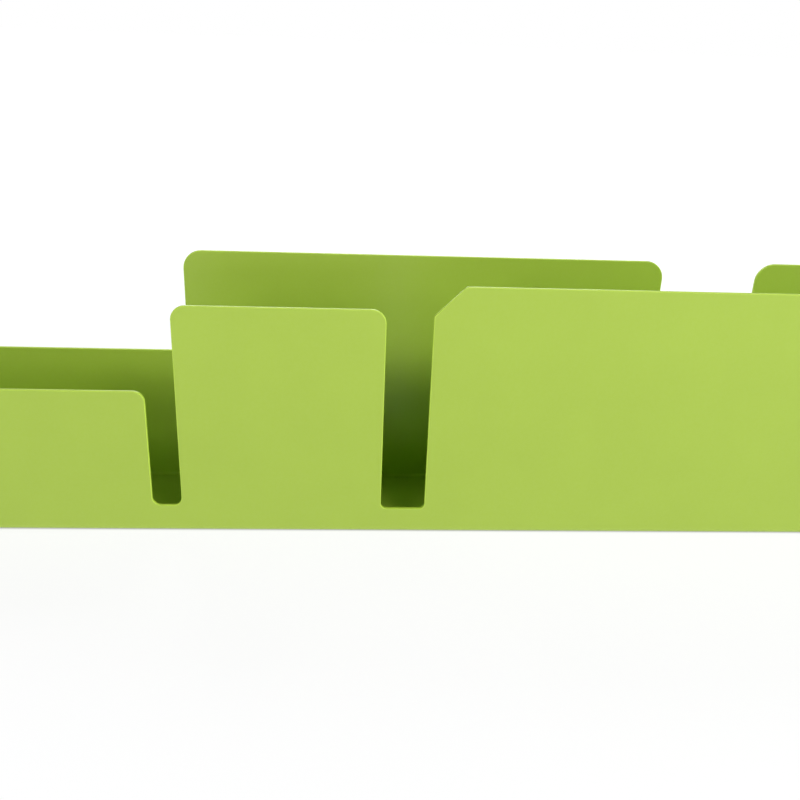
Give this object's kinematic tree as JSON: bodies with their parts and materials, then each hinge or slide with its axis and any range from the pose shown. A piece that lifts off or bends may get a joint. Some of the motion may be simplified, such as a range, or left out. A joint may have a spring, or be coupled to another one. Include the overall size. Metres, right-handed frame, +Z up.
{
  "type": "hanging file rack",
  "caption": "Long folded-sheet trough with stepped front tabs and a taller stepped back wall; hangs from wall screws by keyholes and holds files upright.",
  "frame": {"origin": "middle of the flat underside: half way along the rack, and half way between the outer faces of the front and the back wall", "axes": "+X along the rack, to the right as seen from the front; +Y towards the wall that it hangs on; +Z up"},
  "size_m": [0.8, 0.1077, 0.15],
  "materials": {
    "powder_coat": "satin lime green powder coat on steel sheet",
    "zinc_screw": "bright zinc plate",
    "grey_plug": "moulded grey nylon",
    "pad_rubber": "soft black self-adhesive rubber"
  },
  "bodies": {
    "root": {"folded_body": "powder_coat", "wall_screw_1": "zinc_screw", "wall_screw_2": "zinc_screw", "wall_screw_3": "zinc_screw", "wall_screw_4": "zinc_screw", "wall_plug_1": "grey_plug", "wall_plug_2": "grey_plug", "wall_plug_3": "grey_plug", "wall_plug_4": "grey_plug", "wall_pad_1": "pad_rubber", "wall_pad_2": "pad_rubber", "wall_pad_3": "pad_rubber", "wall_pad_4": "pad_rubber", "wall_pad_5": "pad_rubber", "wall_pad_6": "pad_rubber", "wall_pad_7": "pad_rubber", "wall_pad_8": "pad_rubber"}
  },
  "joints": []
}
